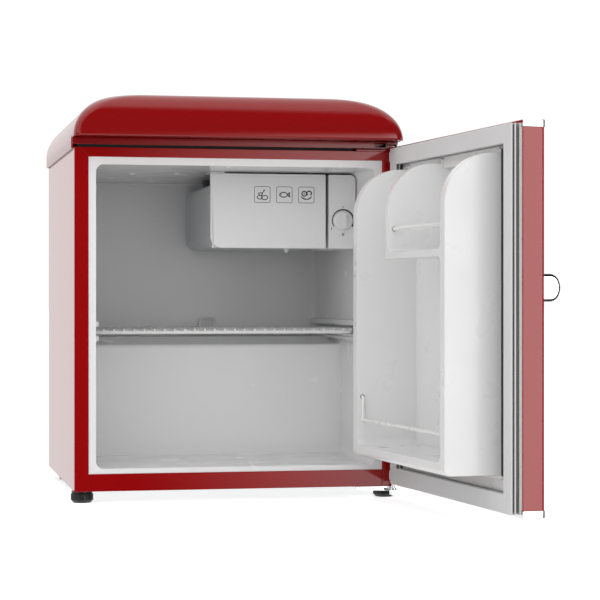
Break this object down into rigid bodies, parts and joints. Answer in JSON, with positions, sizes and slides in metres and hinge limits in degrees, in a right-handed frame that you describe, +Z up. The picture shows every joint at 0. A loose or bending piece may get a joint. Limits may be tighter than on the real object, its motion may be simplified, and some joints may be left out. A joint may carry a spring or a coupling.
{
  "type": "mini fridge",
  "caption": "Compact retro refrigerator with a domed top, an open hinged door with moulded pockets, a freezer box, a wire shelf and levelling feet.",
  "frame": {"origin": "on the floor, below the centre of the cabinet's footprint", "axes": "+Z up, -Y out of the door opening, +X to the viewer's right when facing the opening; the door hangs on the +X side"},
  "size_m": [0.535, 0.8829, 0.5502],
  "materials": {
    "red_paint": "gloss enamel on steel sheet",
    "red_moulding": "gloss red ABS",
    "galvanised_steel": "galvanised sheet",
    "white_paint": "white powder coat",
    "insulation_foam": "rigid polyurethane foam, open skin",
    "black_rubber": "matt black rubber",
    "white_liner": "glossy white polystyrene",
    "white_moulding": "satin white polystyrene",
    "evaporator_aluminium": "light grey coated aluminium",
    "dark_moulding": "matt black plastic",
    "copper": "drawn copper tube",
    "bright_chrome": "bright chrome plate",
    "chrome_moulding": "chrome-plated plastic",
    "black_enamel": "satin black enamel",
    "seal_vinyl": "light grey soft vinyl",
    "white_wire": "white plastic-coated steel wire"
  },
  "bodies": {
    "cabinet": {"side_panel_left": "red_paint", "side_panel_right": "red_paint", "back_panel": "galvanised_steel", "base_plate": "galvanised_steel", "top_plate": "galvanised_steel", "foam_insulation": "insulation_foam", "top_rail": "red_paint", "bottom_rail": "red_paint", "top_cover": "red_moulding", "top_trim_band": "red_moulding", "band_spacer": "black_rubber", "inner_liner": "white_liner", "compressor_bay_plate": "galvanised_steel", "ice_box": "evaporator_aluminium", "ice_box_hangers": "galvanised_steel", "ice_box_nipple": "white_moulding", "freezer_flap_bracket": "white_moulding", "thermostat_housing": "white_moulding", "thermostat_switch": "dark_moulding", "thermostat_sensing_tube": "copper", "ceiling_plugs": "white_moulding", "levelling_nuts": "dark_moulding", "rear_feet": "dark_moulding", "lower_hinge_bracket": "bright_chrome", "lower_hinge_pin": "bright_chrome", "upper_hinge_bracket": "red_paint", "upper_hinge_pin": "bright_chrome", "cabinet_screws": "galvanised_steel", "compressor": "black_enamel", "compressor_rail": "galvanised_steel", "compressor_grommets": "black_rubber", "compressor_bolts": "galvanised_steel", "relay_box": "dark_moulding", "suction_tube": "copper", "discharge_tube": "copper", "filter_drier": "copper", "evaporating_pan": "dark_moulding", "condenser_coil": "black_enamel", "condenser_wires": "black_enamel", "condenser_brackets": "dark_moulding", "cord_gland": "dark_moulding"},
    "door": {"door_skin": "red_paint", "door_top_cap": "chrome_moulding", "door_bottom_cap": "chrome_moulding", "door_liner": "white_liner", "door_foam": "insulation_foam", "door_gasket": "seal_vinyl", "door_handle": "bright_chrome", "handle_screws": "galvanised_steel", "hinge_knuckles": "white_paint", "hinge_bushes": "white_moulding", "rack_bar": "white_wire"},
    "bottle_rail": {"bottle_rail": "white_wire"},
    "freezer_flap": {"freezer_flap": "white_moulding"},
    "thermostat_knob": {"thermostat_knob": "white_moulding"},
    "wire_shelf": {"shelf_frame": "white_wire", "shelf_wires": "white_wire", "shelf_stop": "white_wire"},
    "left_foot": {"levelling_foot_left": "dark_moulding"},
    "right_foot": {"levelling_foot_right": "dark_moulding"}
  },
  "joints": [
    {"name": "door_hinge", "type": "hinge", "parent": "cabinet", "child": "door", "pos_m": [0.2148, -0.21945, 0.25], "axis": [0, 0, 1], "range_deg": [-95, 14]},
    {"name": "freezer_flap_hinge", "type": "hinge", "parent": "cabinet", "child": "freezer_flap", "pos_m": [-0.016, -0.104, 0.3958], "axis": [0, 0, -1], "range_deg": [0, 100]},
    {"name": "thermostat_knob_turn", "type": "hinge", "parent": "cabinet", "child": "thermostat_knob", "pos_m": [0.1703, -0.107, 0.3831], "axis": [0, 1, 0], "range_deg": [-180, 135]},
    {"name": "shelf_slide", "type": "slide", "parent": "cabinet", "child": "wire_shelf", "axis": [0, -1, 0], "range_m": [0, 0.13]},
    {"name": "bottle_rail_swing", "type": "hinge", "parent": "door", "child": "bottle_rail", "pos_m": [0.158, -0.27642, 0.1415], "axis": [0.0872, -0.9962, 0], "range_deg": [-85, 85]},
    {"name": "left_foot_turn", "type": "hinge", "parent": "cabinet", "child": "left_foot", "pos_m": [-0.208, -0.194, 0], "axis": [0, 0, 1], "continuous": true},
    {"name": "right_foot_turn", "type": "hinge", "parent": "cabinet", "child": "right_foot", "pos_m": [0.208, -0.194, 0], "axis": [0, 0, 1], "continuous": true}
  ]
}
